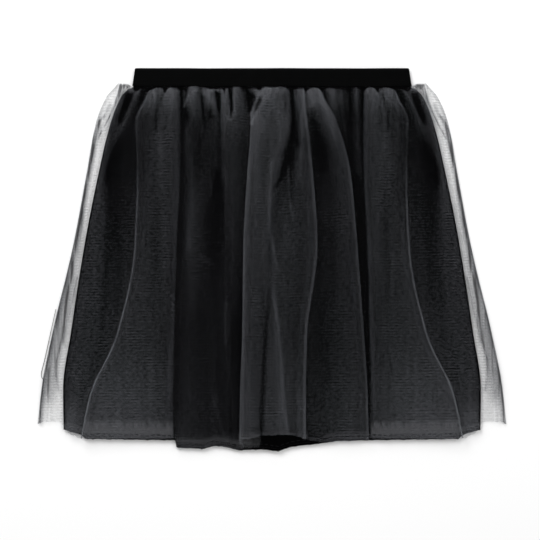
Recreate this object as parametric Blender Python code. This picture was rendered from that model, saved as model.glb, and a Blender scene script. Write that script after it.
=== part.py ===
"""A short tutu skirt laid flat on its back: an elastic waistband, two net layers and a satin lining.

Millimetres are used in the tables, metres in the model. +X is the wearer's left, which is on the right seen
from above, +Y runs from the hem to the waist and +Z is up from the surface that the skirt lies on.
"""

from collections import namedtuple

import bpy
import numpy as np

MM = 0.001

# Driving sizes, in millimetres
BAND_HEIGHT = 20.0
SKIRT_LENGTH = 400.0
HALF_WAIST_TOP = 150.5
HALF_WAIST_SEAM = 153.5
NET_WALL = 1.0
LINING_WALL = 1.0
BAND_WALL = 2.0
SEAM_GAP = 0.3
FOLD_ROOM = 0.4
PUFF_ROOM = 0.6
TOP_Y = (BAND_HEIGHT + SKIRT_LENGTH) / 2
SEAM_Y = TOP_Y - BAND_HEIGHT

# Heights of the middle of each layer where it lies flat, from the surface up
OVER_BACK_Z = NET_WALL / 2
UNDER_BACK_Z = OVER_BACK_Z + NET_WALL + SEAM_GAP
LINING_BACK_Z = UNDER_BACK_Z + LINING_WALL + SEAM_GAP
LINING_FRONT_Z = LINING_BACK_Z + LINING_WALL + SEAM_GAP
UNDER_FRONT_Z = LINING_FRONT_Z + NET_WALL + FOLD_ROOM
OVER_FRONT_Z = UNDER_FRONT_Z + NET_WALL + PUFF_ROOM
SUNK_Z = LINING_BACK_Z + 0.1
SEAM_CLOTH_Z = OVER_FRONT_Z - 0.2
BAND_THICK = OVER_FRONT_Z + NET_WALL / 2 - SEAM_GAP

# Shares of the length below the seam at which the tables give a line's place and a layer's half width
LEVELS = (0.0, 0.03, 0.10, 0.25, 0.45, 0.70, 1.0)
# Shares of the length at which they give its height
HEIGHT_LEVELS = (0.05, 0.40, 1.0)

# The length at which the rows are spaced, and how late a layer turns to its own hem line
MEAN_DROP = 388.0
HEM_POWER = 5

# How far down the net takes to puff up to its full height, and how the shoulders ride up beside the band
PUFF_SHARE = 0.03
SHOULDER_LIFT = 3.6
SHOULDER_START = 4.5
SHOULDER_WIDTH = 8.0
SHOULDER_SHARE = 0.015

# A line that runs down the front of the over layer: a crown, a crease, or the bottom or edge of a fold.
# path is its distance from the centre line at LEVELS, height its middle's height above the surface at
# HEIGHT_LEVELS, and drop its length from seam to hem. Where a bottom lies past its edge, the fold laps over.
Line = namedtuple("Line", "name path height drop")

# From the side edge inwards, the same on the left and the right
SIDE_LINES = (
    Line("side_edge", (167.0, 180, 194, 204, 219, 245, 258.5), (1.8, 1.8, 1.8), 371),
    Line("side_streak", (165.0, 177.5, 190, 200, 214.5, 237.5, 252), (5.2, 5.0, 4.8), 372),
    Line("side_sheer", (163.0, 175.5, 187, 196, 210, 229, 240), (4.8, 4.6, 4.4), 374),
    Line("roll_edge", (160.0, 172.5, 181.5, 191, 204.5, 220, 229), (11, 9.5, 8.0), 375),
    Line("roll_crown", (156.5, 166, 175, 187, 197, 211, 224.5), (17, 11.5, 9.0), 377),
    Line("hollow", (151.5, 158, 165.5, 184, 191, 202, 221.5), (8.5, 10, 8.6), 380),
    Line("rib_crown", (146.5, 152, 159.5, 180, 186, 195, 219), (15, 12, 9.4), 381),
    Line("rib_foot", (140.5, 142, 154, 177, 180, 187, 215.5), (9, 8.4, 8.4), 383),
    Line("dark_floor", (136.5, 139.5, 151, 168, 170.5, 180, 212), (8.6, 8.0, 8.2), 384),
    Line("lap_edge", (132.0, 139, 148.5, 148, 150.5, 170.5, 208.5), (15, 14, 11), 385),
    Line("puff_crown_a", (126.0, 128.5, 134, 134, 134, 147.5, 176), (22, 17.5, 12.5), 387),
    Line("puff_crease", (119.5, 121, 123, 124.5, 125.5, 131, 139.5), (19, 16, 11.5), 387),
    Line("puff_crown_b", (110.0, 110, 111, 112, 114.5, 116.5, 121), (22, 17, 12.5), 388),
    Line("slot_edge", (102.5, 101.5, 101, 102, 106, 108.5, 111), (18, 14, 10.5), 388),
    Line("slot_floor", (100.0, 99.5, 99, 100, 103.4, 106.7, 109), (8, 8, 8), 388),
)

# Between the two slots, from left to right
CENTRE_LINES = (
    Line("left_edge", (-97.0, -96, -96, -97, -100, -102, -103), (14, 12, 9.5), 396.5),
    Line("left_crown_a", (-87.0, -88, -88, -88, -90, -91, -92.5), (20, 15, 11.5), 397),
    Line("left_crease", (-78.0, -77, -73.5, -75, -79, -79, -76), (15, 12, 10), 397),
    Line("left_crown_b", (-68.0, -68, -66, -67, -73.5, -69, -64), (18.5, 13, 10.5), 394),
    Line("gap_left", (-59.5, -58.5, -58, -60.5, -70.5, -63, -56), (15, 11, 9), 394.5),
    Line("gap_floor", (-57.0, -56.5, -56.3, -56, -60.5, -56.5, -52), (8.5, 8, 8.2), 396),
    Line("strip_edge", (-55.0, -55, -55, -54, -50, -50.5, -48.5), (15, 12.5, 10), 397),
    Line("strip_crown", (-45.0, -46, -44, -42, -42, -43, -43), (19, 14.5, 11), 398),
    Line("strip_under", (-31.0, -23, -21.5, -24.5, -29, -31.5, -33), (9, 8.4, 8.4), 398),
    Line("strip_turn", (-29.0, -21.2, -19.7, -22.7, -27.2, -29.7, -31.2), (10.8, 10.2, 10), 397),
    Line("main_edge", (-27.0, -24, -23.5, -27, -31.5, -33, -34), (18, 16, 13), 389),
    Line("main_crown_a", (-17.5, -15.5, -13, -16.5, -21, -22, -24), (24, 19.5, 15), 386),
    Line("main_crease", (-6.5, -4.5, -2, -7.5, -12, -9, -12), (21, 17, 12.5), 383),
    Line("main_crown_b", (5.5, 9, 12, 0, -7, -2, -1), (24, 19, 14), 382),
    Line("main_right", (17.5, 21, 22.5, 8, -3, 6.5, 16.5), (18, 14.5, 12), 382),
    Line("wedge_floor", (20.0, 22.5, 23.5, 10, 2, 10, 18.5), (9, 8.6, 9), 382),
    Line("wedge_rise", (24.0, 25.5, 27.5, 21, 17.5, 21, 26), (11, 9.5, 9.5), 383),
    Line("rib_centre", (31.0, 32, 33, 31, 34, 30, 31), (20, 15.5, 12), 385),
    Line("rib_lap", (36.0, 38.5, 41, 45, 49.5, 38, 37), (16, 15, 12), 387),
    Line("rib_under", (38.5, 38, 40.2, 44, 48.5, 37.2, 36.6), (9, 9, 9), 386),
    Line("fan_hollow", (43.0, 46, 54, 61.5, 66, 55, 55), (15, 10.5, 10), 385.5),
    Line("fan_crown", (46.5, 51.5, 64, 77, 83.5, 86, 86), (23, 18, 13.5), 387),
    Line("fan_edge", (50.0, 56, 70.5, 87.5, 94.5, 101, 103.4), (19, 15, 12), 387),
    Line("fan_under", (52.5, 55, 68, 85, 93, 100.4, 103.2), (9, 8.2, 8.2), 388),
    Line("sunk_crown_a", (59.5, 65, 76, 91, 97, 102.6, 104.9), (16, 10, 8.8), 388),
    Line("sunk_crown_b", (75.0, 77, 81, 93, 98.7, 103.6, 105.9), (14, 9, 8.6), 388),
    Line("sunk_slit", (86.0, 86, 86, 95, 100, 104.6, 106.9), (9, 8.2, 8.2), 388),
    Line("sunk_crown_c", (92.5, 92.5, 93.5, 97.5, 101.6, 105.6, 107.9), (14, 9.2, 8.6), 388),
)

# Half widths of the layers at LEVELS
OVER_HALF = SIDE_LINES[0].path
UNDER_HALF = (157.5, 173.5, 185, 195.5, 209, 229, 242)
LINING_HALF = (155.0, 169.5, 180, 190, 204, 219.5, 228)

# Where a hem lies: distance from the centre line, and length of the layer there from seam to hem
LINING_HEM = (
    (-228, 374), (-211, 380.5), (-204.5, 385.5), (-107, 387), (-104, 395.5), (-75, 397), (-63, 393.5),
    (-53, 394.5), (-36, 399), (-12, 397.5), (7, 400), (22, 394.5), (54, 391), (103.5, 387.5), (204.5, 385.5),
    (211, 380.5), (228, 374),
)
UNDER_HEM = (
    (-242, 371), (-205, 383), (-108, 386), (-102, 395), (-36, 397), (-13, 396), (-10, 379), (28, 379),
    (37, 386), (56, 396), (108, 395), (114, 386), (205, 383), (242, 371),
)
BACK_NET_HEM = (
    (-258.5, 371), (-205, 382), (-140, 388), (-106, 396), (-60, 394), (0, 396), (52, 397), (110, 396),
    (116, 388), (205, 382), (258.5, 371),
)

# Shares of the length at which the rows of a folded layer and of a flat one lie, close together at the puffs
FOLDED_ROWS = (0, 0.004, 0.009, 0.018, 0.032, 0.055, 0.09, 0.14, 0.21, 0.30, 0.40, 0.52, 0.66, 0.82, 1.0)
FLAT_ROWS = (0, 0.004, 0.009, 0.018, 0.032, 0.07, 0.14, 0.25, 0.40, 0.60, 0.80, 1.0)
SPANS_PER_LINE = 2
INNER_COLUMNS = 40
FLAT_COLUMNS = 24

# How much of the over layer's relief the layers under it follow, and how far they stay from its flanks
UNDER_FOLLOWS = 0.30
LINING_FOLLOWS = 0.15
FLANK_REACH = 8.0
EDGE_FADE = 6.0
RELIEF_SPANS = 6

# Where the under net sinks beyond the lining's edge, and its columns there as shares of the way out
SINK_START = 1.0
SINK_REACH = 5.0
BEYOND_STEPS = (0.12, 0.45, 1.0)

# Points round each end of the waistband's section and along each straight side
BAND_END_POINTS = 7
BAND_SIDE_POINTS = 9


def clear_scene():
    for item in list(bpy.data.objects):
        bpy.data.objects.remove(item, do_unlink=True)


def smooth_through(stations, values, at):
    """A smooth curve through values at stations, read at the points at; values may hold several columns."""
    stations = np.asarray(stations, float)
    values = np.asarray(values, float)
    slopes = np.gradient(values, stations, axis=0)
    span = np.clip(np.searchsorted(stations, at, side="right") - 1, 0, len(stations) - 2)
    width = stations[span + 1] - stations[span]
    t = (np.asarray(at, float) - stations[span]) / width
    if values.ndim > 1:
        width, t = width[:, None], t[:, None]
    start, end = values[span], values[span + 1]
    return (
        start * (1 + 2 * t) * (1 - t) ** 2
        + end * t * t * (3 - 2 * t)
        + slopes[span] * width * t * (1 - t) ** 2
        + slopes[span + 1] * width * t * t * (t - 1)
    )


def puff(shares):
    """How much of its height the net has reached: a quarter ellipse below the seam."""
    left = 1 - np.clip(np.asarray(shares, float) / PUFF_SHARE, 0, 1)
    return np.sqrt(1 - left**2)


def shoulder(shares, x):
    """How far the cloth rides up beside the band, for a row of shares and a grid of places."""
    fade = np.exp(-np.asarray(shares, float) / SHOULDER_SHARE)[:, None]
    beside = np.clip((np.abs(x) - HALF_WAIST_SEAM - SHOULDER_START) / SHOULDER_WIDTH, 0, 1)
    return SHOULDER_LIFT * fade * beside**2 * (3 - 2 * beside)


def fall(shares, x, length):
    """The y of each point of a layer: rows at even heights, with the hem's own line reached near the end."""
    rows = np.asarray(shares, float)[:, None]
    below = rows * MEAN_DROP + rows**HEM_POWER * (length - MEAN_DROP)
    return SEAM_Y - SEAM_GAP * (1 - rows) - below + shoulder(shares, x)


def over_front_lines(rows):
    """The grid of the lines of the over layer's front: x, y and z for each row and line."""
    mirrored = [line._replace(path=tuple(-x for x in line.path)) for line in SIDE_LINES]
    lines = [*mirrored, *CENTRE_LINES, *reversed(SIDE_LINES)]
    rows = np.asarray(rows, float)
    x = smooth_through(LEVELS, np.array([line.path for line in lines]).T, rows)
    low_rows = np.maximum(rows, HEIGHT_LEVELS[0])
    full = smooth_through(HEIGHT_LEVELS, np.array([line.height for line in lines]).T, low_rows)
    seam = np.minimum(full, SEAM_CLOTH_Z)
    z = seam + (full - seam) * puff(rows)[:, None]
    drop = np.array([line.drop for line in lines])
    return np.stack([x, fall(rows, x, drop), z], axis=2)


def across(grid, spans):
    """Each row of a grid drawn as a smooth curve through its points, with so many spans between two."""
    points = np.arange(grid.shape[1])
    wanted = np.linspace(0, points[-1], points[-1] * spans + 1)
    rows = []
    for row in grid:
        run = np.cumsum(np.linalg.norm(np.diff(row, axis=0), axis=1))
        stations = np.concatenate([[0], run])
        rows.append(smooth_through(stations, row, np.interp(wanted, points, stations)))
    return np.stack(rows)


def floor_under(grid, x, reach):
    """The lowest height of each row of a grid within reach of the places x."""
    near = np.abs(grid[:, None, :, 0] - x[:, :, None]) < reach
    return np.where(near, grid[:, None, :, 2], np.inf).min(axis=2)


def hem_length(table, x):
    places, lengths = np.array(table, float).T
    return np.interp(x, places, lengths)


def lining_places(rows, columns):
    """Places across the lining for each row, from side edge to side edge."""
    return smooth_through(LEVELS, LINING_HALF, np.asarray(rows, float))[:, None] * np.linspace(-1, 1, columns)


def places_beyond_lining(half, rows, columns):
    """The lining's places with three more on each side, out to a wider layer's own side edges."""
    inner = lining_places(rows, columns)
    wide = smooth_through(LEVELS, half, np.asarray(rows, float))[:, None] - inner[:, -1:]
    outer = inner[:, -1:] + wide * np.array(BEYOND_STEPS)
    return np.concatenate([-outer[:, ::-1], inner, outer], axis=1)


def layer_grid(hem, rows, x, z):
    """A layer's grid of middle points; rows are shares of its length and z a height or one for each point."""
    return np.stack([x, fall(rows, x, hem_length(hem, x[-1])), np.broadcast_to(z, x.shape)], axis=2)


def nested(base, follows, rows, x):
    """The height of a layer that follows the over layer's relief and lies flat by its side edge."""
    over = across(over_front_lines(rows), RELIEF_SPANS)
    relief = np.maximum(floor_under(over, x, FLANK_REACH) - OVER_FRONT_Z, 0)
    inside = (smooth_through(LEVELS, LINING_HALF, rows)[:, None] - np.abs(x)) / EDGE_FADE
    return base + follows * relief * np.clip(inside, 0, 1) * puff(rows)[:, None]


def under_front_height(rows, x):
    """The under net lies on the lining, and sinks to the back layers beyond the lining's edge."""
    beyond = np.abs(x) - smooth_through(LEVELS, LINING_HALF, rows)[:, None]
    beyond = np.clip((beyond - SINK_START) / SINK_REACH, 0, 1)
    on_lining = nested(UNDER_FRONT_Z, UNDER_FOLLOWS, rows, x)
    return on_lining + (SUNK_Z - on_lining) * beyond


def cut_in_two(a, b, c, d):
    """Two triangles that share the diagonal from a to c."""
    return [(int(a), int(b), int(c)), (int(a), int(c), int(d))]


def wall_mesh(name, grid, thick):
    """A closed wall of one thickness about a grid of middle points, given in millimetres."""
    along = np.gradient(grid, axis=1)
    down = np.gradient(grid, axis=0)
    normal = np.cross(down, along)
    normal[0, :, 1] = 0
    normal /= np.linalg.norm(normal, axis=2)[:, :, None]
    rows, columns = grid.shape[:2]
    points = np.concatenate([grid + normal * thick / 2, grid - normal * thick / 2]).reshape(-1, 3) * MM
    top = np.arange(rows * columns).reshape(rows, columns)
    low = top + rows * columns
    faces = []
    for r in range(rows - 1):
        for c in range(columns - 1):
            faces += cut_in_two(top[r, c], top[r + 1, c], top[r + 1, c + 1], top[r, c + 1])
            faces += cut_in_two(low[r, c], low[r, c + 1], low[r + 1, c + 1], low[r + 1, c])
    rim = [*((0, c) for c in range(columns - 1)), *((r, columns - 1) for r in range(rows - 1))]
    rim += [*((rows - 1, c) for c in range(columns - 1, 0, -1)), *((r, 0) for r in range(rows - 1, 0, -1))]
    for here, there in zip(rim, rim[1:] + rim[:1]):
        faces += cut_in_two(top[here], top[there], low[there], low[here])
    mesh = bpy.data.meshes.new(name)
    mesh.from_pydata(points.tolist(), [], faces)
    mesh.update()
    return mesh


def cloth_material(name, colour, roughness):
    material = bpy.data.materials.new(name)
    material.use_nodes = True
    shader = material.node_tree.nodes["Principled BSDF"]
    shader.inputs["Base Color"].default_value = (*colour, 1.0)
    shader.inputs["Roughness"].default_value = roughness
    return material


def add_piece(name, mesh, material):
    mesh.materials.append(material)
    mesh.shade_smooth()
    piece = bpy.data.objects.new(name, mesh)
    bpy.context.scene.collection.objects.link(piece)
    return piece


def stadium(half, thick):
    """A flattened ring seen end on: x and z of its points all round, about its middle."""
    radius = thick / 2
    run = half - radius
    turn = np.linspace(-np.pi / 2, np.pi / 2, BAND_END_POINTS)
    right = np.stack([run + radius * np.cos(turn), radius * np.sin(turn)], axis=1)
    side = np.linspace(run, -run, BAND_SIDE_POINTS)[1:-1]
    top = np.stack([side, np.full(len(side), radius)], axis=1)
    return np.concatenate([right, top, -right, -top])


def waistband_mesh():
    """The elastic loop pressed flat, a little wider at the seam than at its top edge."""
    heights = np.array([SEAM_Y, SEAM_Y + BAND_HEIGHT / 2, TOP_Y])
    halves = np.array([HALF_WAIST_SEAM, (HALF_WAIST_SEAM + HALF_WAIST_TOP) / 2, HALF_WAIST_TOP])
    middle = BAND_THICK / 2
    rings = []
    for inset in (0.0, BAND_WALL):
        for y, half in zip(heights, halves):
            ring = stadium(half - inset, BAND_THICK - 2 * inset)
            rings.append([(x, y, z + middle) for x, z in ring])
    count = len(rings[0])
    order = [0, 1, 2, 5, 4, 3]
    faces = []
    for here, there in zip(order, order[1:] + order[:1]):
        for i in range(count):
            j = (i + 1) % count
            faces.append((here * count + i, there * count + i, there * count + j, here * count + j))
    mesh = bpy.data.meshes.new("waistband")
    mesh.from_pydata((np.array(rings).reshape(-1, 3) * MM).tolist(), [], faces)
    mesh.update()
    return mesh


def build():
    clear_scene()
    net = cloth_material("black_net", (0.045, 0.046, 0.05), 0.7)
    satin = cloth_material("black_satin", (0.012, 0.012, 0.014), 0.4)
    elastic = cloth_material("black_elastic", (0.008, 0.008, 0.009), 0.6)

    over_front = across(over_front_lines(FOLDED_ROWS), SPANS_PER_LINE)
    inner = lining_places(FOLDED_ROWS, INNER_COLUMNS)
    outer = places_beyond_lining(UNDER_HALF, FOLDED_ROWS, INNER_COLUMNS)
    under_front = layer_grid(UNDER_HEM, FOLDED_ROWS, outer, under_front_height(FOLDED_ROWS, outer))
    lining_z = nested(LINING_FRONT_Z, LINING_FOLLOWS, FOLDED_ROWS, inner)
    lining_front = layer_grid(LINING_HEM, FOLDED_ROWS, inner, lining_z)

    flat = lining_places(FLAT_ROWS, FLAT_COLUMNS)
    flat_under = places_beyond_lining(UNDER_HALF, FLAT_ROWS, FLAT_COLUMNS)
    flat_over = places_beyond_lining(OVER_HALF, FLAT_ROWS, FLAT_COLUMNS)
    lining_back = layer_grid(LINING_HEM, FLAT_ROWS, flat, LINING_BACK_Z)
    under_back = layer_grid(BACK_NET_HEM, FLAT_ROWS, flat_under, UNDER_BACK_Z)
    over_back = layer_grid(BACK_NET_HEM, FLAT_ROWS, flat_over, OVER_BACK_Z)

    add_piece("net_over_front", wall_mesh("net_over_front", over_front, NET_WALL), net)
    add_piece("net_under_front", wall_mesh("net_under_front", under_front, NET_WALL), net)
    add_piece("lining_front", wall_mesh("lining_front", lining_front, LINING_WALL), satin)
    add_piece("lining_back", wall_mesh("lining_back", lining_back, LINING_WALL), satin)
    add_piece("net_under_back", wall_mesh("net_under_back", under_back, NET_WALL), net)
    add_piece("net_over_back", wall_mesh("net_over_back", over_back, NET_WALL), net)
    add_piece("waistband", waistband_mesh(), elastic)


build()
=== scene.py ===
"""A black net tutu skirt laid flat: its nets, lining and elastic, with the floor, lights and camera."""

from collections import namedtuple

import bpy
import numpy as np
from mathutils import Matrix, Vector


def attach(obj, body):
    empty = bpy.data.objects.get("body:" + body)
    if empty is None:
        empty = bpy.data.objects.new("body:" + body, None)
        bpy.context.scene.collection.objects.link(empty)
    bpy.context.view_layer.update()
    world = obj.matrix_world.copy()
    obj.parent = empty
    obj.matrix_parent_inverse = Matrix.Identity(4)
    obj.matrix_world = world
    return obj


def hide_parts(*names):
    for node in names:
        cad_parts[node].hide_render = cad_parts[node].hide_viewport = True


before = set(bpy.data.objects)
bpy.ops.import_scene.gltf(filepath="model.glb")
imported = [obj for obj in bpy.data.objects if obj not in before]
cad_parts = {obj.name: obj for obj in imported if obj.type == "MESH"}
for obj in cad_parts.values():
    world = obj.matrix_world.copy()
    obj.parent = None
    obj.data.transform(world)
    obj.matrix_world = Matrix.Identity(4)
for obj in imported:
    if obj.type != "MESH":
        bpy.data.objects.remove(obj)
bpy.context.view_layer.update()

MM = 0.001
RANDOM = np.random.default_rng(7)

# Sizes of the skirt, in millimetres
BAND_HEIGHT = 20.0
SEAM_Y = 190.0
TOP_Y = SEAM_Y + BAND_HEIGHT
HALF_WAIST_TOP = 150.5
HALF_WAIST_SEAM = 153.5
BAND_THICK = 7.6
MEAN_DROP = 388.0
HEM_POWER = 5
PUFF_SHARE = 0.032
SEAM_Z = 7.2

# Heights at which the layers lie flat on each other
OVER_BACK_Z = 0.4
UNDER_BACK_Z = 1.8
LINING_BACK_Z = 3.1
LINING_FRONT_Z = 4.4
UNDER_FRONT_Z = 5.8

# Shares of the length at which the tables give a line's place, its height and its cover, which holds painted
# shade and light too
LEVELS = (0.0, 0.03, 0.10, 0.25, 0.45, 0.70, 0.87, 1.0)
HEIGHT_LEVELS = (0.05, 0.40, 1.0)
COVER_LEVELS = (0.035, 0.095, 0.18, 0.40, 0.70, 0.88, 0.95)

# A line down the front of the over net. path is its distance from the centre line, height its height above
# the floor, drop its length, and cover how much of what lies behind it the net hides there, from single net
# held open to net crowded in a fold; the cover is set low in the hollows as painted shade and higher on the
# crowns as painted light, besides the net's real crowding.
Line = namedtuple("Line", "path height drop cover")

# From the side edge inwards, the same on the left and the right
SIDE_LINES = {
    "side_edge": Line((169.5, 182, 193.2, 204, 218.4, 241, 253, 257.5), (1.8, 1.8, 1.8), 371,
         (0.05, 0.2, 0.5, 0.55, 0.42, 0.4, 0.35)),
    "side_streak": Line((169, 180, 190.5, 202, 216, 239.4, 251.6, 254.4), (5.2, 5, 4.8), 369.5,
         (0.07, 0.25, 0.5, 0.55, 0.5, 0.55, 0.3)),
    "side_gap": Line((168.5, 177, 188, 200.6, 214.6, 236.5, 248, 250.5), (4.6, 4.6, 4.4), 368,
         (0.1, 0.2, 0.35, 0.45, 0.52, 0.5, 0.2)),
    "side_fold": Line((168, 174, 186, 199, 213, 231.2, 243.8, 246.4), (4.6, 5.2, 5.2), 368,
         (0.12, 0.18, 0.18, 0.4, 0.55, 0.42, 0.08)),
    "side_sheer": Line((167.5, 172, 182, 196, 209, 226, 234, 233.5), (4.8, 4.6, 4.4), 368,
         (0.1, 0.08, 0.03, 0.14, 0.12, 0.05, 0.01)),
    "roll_edge": Line((166.5, 169.5, 177, 191.2, 206, 221, 229.4, 229), (11, 9.5, 8), 376.5,
         (0.8, 0.3, 0.16, 0.09, 0.1, 0.07, 0.05)),
    "roll_crown": Line((161, 165.5, 175, 187, 197, 211, 221, 224.5), (17, 11.5, 9), 378,
         (0.5, 0.24, 0.17, 0.1, 0.1, 0.145, 0.28)),
    "hollow": Line((153.5, 160, 168, 184, 191, 202, 215.5, 221.5), (8.5, 10, 8.6), 381,
         (0.015, 0.05, 0.07, 0.09, 0.1, 0.145, 0.28)),
    "rib_crown": Line((142, 148.5, 160.5, 180, 186, 195, 211, 219), (15, 12, 9.4), 382,
         (0.15, 0.12, 0.002, 0.07, 0.09, 0.133, 0.26)),
    "rib_foot": Line((138.5, 143, 154.6, 177, 180, 187, 206.5, 215.5), (9, 8.4, 8.4), 383.5,
         (0.01, 0.03, 0.002, 0.02, 0.065, 0.109, 0.24)),
    "dark_floor": Line((136.5, 140.8, 152.6, 168, 170.5, 180, 203, 212.5), (8.6, 8, 8.2), 386,
         (0.003, 0.01, 0.008, 0.02, 0.07, 0.108, 0.22)),
    "lap_under": Line((134, 136.2, 147, 146.2, 149, 168.2, 197.2, 208), (11, 9.6, 9), 386,
         (0.1, 0.06, 0.02, 0.07, 0.1, 0.15, 0.2)),
    "lap_edge": Line((133, 137.2, 149.3, 147.6, 150.4, 169.6, 198.4, 209), (15, 14, 11), 386,
         (0.15, 0.036, 0.024, 0.085, 0.13, 0.18, 0.22)),
    "puff_crown_a": Line((126, 128.5, 134, 134, 134, 147.5, 163, 176), (22, 17.5, 12.5), 386,
         (0.25, 0.065, 0.06, 0.08, 0.105, 0.209, 0.25)),
    "puff_crease": Line((119.5, 121, 123, 124.5, 125.5, 131, 136, 139.5), (19, 16, 11.5), 386,
         (0.15, 0.075, 0.11, 0.055, 0.09, 0.169, 0.2)),
    "puff_crown_b": Line((110, 110, 111, 112, 114.5, 116.5, 119, 121), (22, 17, 12.5), 386,
         (0.26, 0.125, 0.09, 0.095, 0.065, 0.126, 0.15)),
    "slot_edge": Line((102.5, 101.5, 101, 102, 106, 108.5, 109.8, 111), (18, 14, 10.5), 386,
         (0.18, 0.09, 0.085, 0.08, 0.08, 0.102, 0.11)),
    "slot_floor": Line((100, 99.5, 99, 100, 103.4, 106.4, 107.8, 106.3), (8, 8, 8), 386,
         (0.02, 0, 0, 0, 0.005, 0.016, 0.02)),
}

# Between the two slots, from left to right
CENTRE_LINES = {
    "left_edge": Line((-97, -96, -96, -97, -100, -102, -102.6, -105.2), (14, 12, 9.5), 397,
         (0.08, 0.015, 0.012, 0.012, 0.018, 0.03, 0.06)),
    "left_crown_a": Line((-87, -88, -88, -88, -90, -91, -92, -92.5), (20, 15, 11.5), 397,
         (0.26, 0.065, 0.02, 0.07, 0.035, 0.057, 0.065)),
    "left_crease": Line((-78, -77, -73.5, -75, -79, -79, -77.5, -76), (15, 12, 10), 397,
         (0.1, 0.035, 0.02, 0.05, 0.02, 0.034, 0.04)),
    "left_crown_b": Line((-68, -68, -66, -67, -73.5, -69, -66.5, -64), (18.5, 13, 10.5), 394,
         (0.29, 0.055, 0.035, 0.03, 0.02, 0.034, 0.04)),
    "gap_left": Line((-59.5, -58.5, -58.4, -61.2, -70.5, -63, -59.5, -56), (15, 11, 9), 394.5,
         (0.18, 0.06, 0.025, 0.015, 0.02, 0.027, 0.03)),
    "gap_floor": Line((-57, -56.5, -56.3, -56, -60.5, -56.5, -54, -52), (8.5, 8, 8.2), 396,
         (0.02, 0.025, 0.01, 0.005, 0.02, 0.02, 0.02)),
    "strip_edge": Line((-55, -55, -55, -54, -50, -50.5, -49.5, -48.5), (15, 12.5, 10), 397,
         (0.25, 0.15, 0.055, 0.035, 0.04, 0.033, 0.03)),
    "strip_crown": Line((-45, -46, -44, -42, -42, -43, -43, -43), (19, 14.5, 11), 398,
         (0.27, 0.15, 0.065, 0.055, 0.01, 0.02, 0.02)),
    "strip_under": Line((-31, -23, -21.5, -24.5, -29, -31.5, -32.4, -33), (9, 8.4, 8.4), 398,
         (0.02, 0.03, 0.01, 0.005, 0, 0.004, 0.005)),
    "strip_turn": Line((-29, -21.2, -19.7, -22.7, -27.2, -29.7, -30.6, -31.2), (10.8, 10.2, 10), 397,
         (0.02, 0.03, 0.01, 0.005, 0, 0.004, 0.005)),
    "main_edge": Line((-27, -24, -23.5, -27, -31.3, -32.6, -35, -35.8), (18, 16, 13), 389,
         (0.03, 0.2, 0.2, 0.14, 0.15, 0.172, 0.18)),
    "main_crown_a": Line((-17.5, -15.5, -13, -16.5, -21, -22, -23, -24), (24, 19.5, 15), 386,
         (0.12, 0.26, 0.15, 0.125, 0.1, 0.136, 0.15)),
    "main_crease": Line((-6.5, -4.5, -2, -7.5, -12, -9, -10.5, -12), (21, 17, 12.5), 383,
         (0.28, 0.16, 0.095, 0.095, 0.07, 0.077, 0.08)),
    "main_crown_b": Line((5.5, 9, 12, 0, -7, -2, -1.5, -1), (24, 19, 14), 382,
         (0.2, 0.2, 0.15, 0.125, 0.1, 0.136, 0.15)),
    "main_right": Line((18.6, 21.4, 21.2, 7, -3, 6.5, 12.5, 16.5), (18, 14.5, 12), 382,
         (0.09, 0.1, 0.105, 0.06, 0.12, 0.163, 0.18)),
    "wedge_floor": Line((20, 22.5, 23.5, 10, 2, 10, 15, 18.5), (9, 8.6, 9), 382,
         (0.06, 0, 0.015, 0.08, 0.105, 0.119, 0.125)),
    "wedge_rise": Line((24, 25.5, 27.5, 21, 17.5, 21, 23.5, 26), (11, 9.5, 9.5), 383,
         (0.17, 0.04, 0.025, 0.09, 0.06, 0.092, 0.105)),
    "rib_centre": Line((31, 30, 31.5, 31, 34, 30, 30.5, 31), (20, 15.5, 12), 385,
         (0.17, 0.17, 0.09, 0.065, 0.055, 0.123, 0.15)),
    "rib_lap": Line((37.5, 36, 38.8, 45, 49.5, 38.5, 37, 37), (16, 15, 12), 387,
         (0.22, 0.18, 0.09, 0.1, 0.11, 0.139, 0.15)),
    "rib_under": Line((35, 34, 36.2, 42, 46.5, 35.5, 34, 34), (9, 9.6, 9.2), 386,
         (0.15, 0.04, 0.02, 0.01, 0.03, 0.037, 0.04)),
    "fan_hollow": Line((43, 46, 54, 61.5, 66, 55, 55, 50), (15, 10.5, 10), 389.5,
         (0.3, 0.08, 0.01, 0.03, 0.02, 0.049, 0.06)),
    "fan_crown": Line((46.5, 51.5, 64, 77, 83.5, 86, 86, 86), (23, 18, 13.5), 388.5,
         (0.4, 0.26, 0.085, 0.07, 0.07, 0.11, 0.125)),
    "fan_edge": Line((50.5, 56, 70.5, 86, 93.2, 100.5, 104.4, 105.4), (19, 15, 12), 387,
         (0.1, 0.06, 0.12, 0.09, 0.07, 0.092, 0.1)),
    "fan_under": Line((48.5, 53.8, 67.8, 83.4, 90.5, 97.9, 102, 103), (11, 9.6, 9.4), 388,
         (0.04, 0.02, 0.005, 0.005, 0.005, 0.009, 0.01)),
    "sunk_crown_a": Line((59.5, 65, 76, 89.6, 95.4, 101.7, 104.8, 104.9), (16, 10, 8.8), 388,
         (0.16, 0.03, 0.005, 0, 0, 0.011, 0.015)),
    "sunk_crown_b": Line((75, 77, 81, 92, 97.6, 102.8, 105.6, 105.2), (14, 9, 8.6), 388,
         (0.1, 0.012, 0.005, 0, 0, 0.011, 0.015)),
    "sunk_slit": Line((86, 86, 86, 95, 100, 104.6, 106.4, 105.4), (9, 8.2, 8.2), 388,
         (0.005, 0.005, 0.005, 0, 0, 0.011, 0.015)),
    "sunk_crown_c": Line((92.5, 92.5, 93.5, 97.5, 101.6, 105.4, 107.1, 105.9), (14, 9.2, 8.6), 388,
         (0.13, 0.045, 0.028, 0, 0, 0.014, 0.02)),
}

# Half widths of the layers at LEVELS
UNDER_HALF = (155, 169, 183, 196, 210, 229.5, 242, 244)
LINING_HALF = (151.5, 165.5, 176.8, 190.8, 206, 220.8, 229.4, 228.8)

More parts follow.
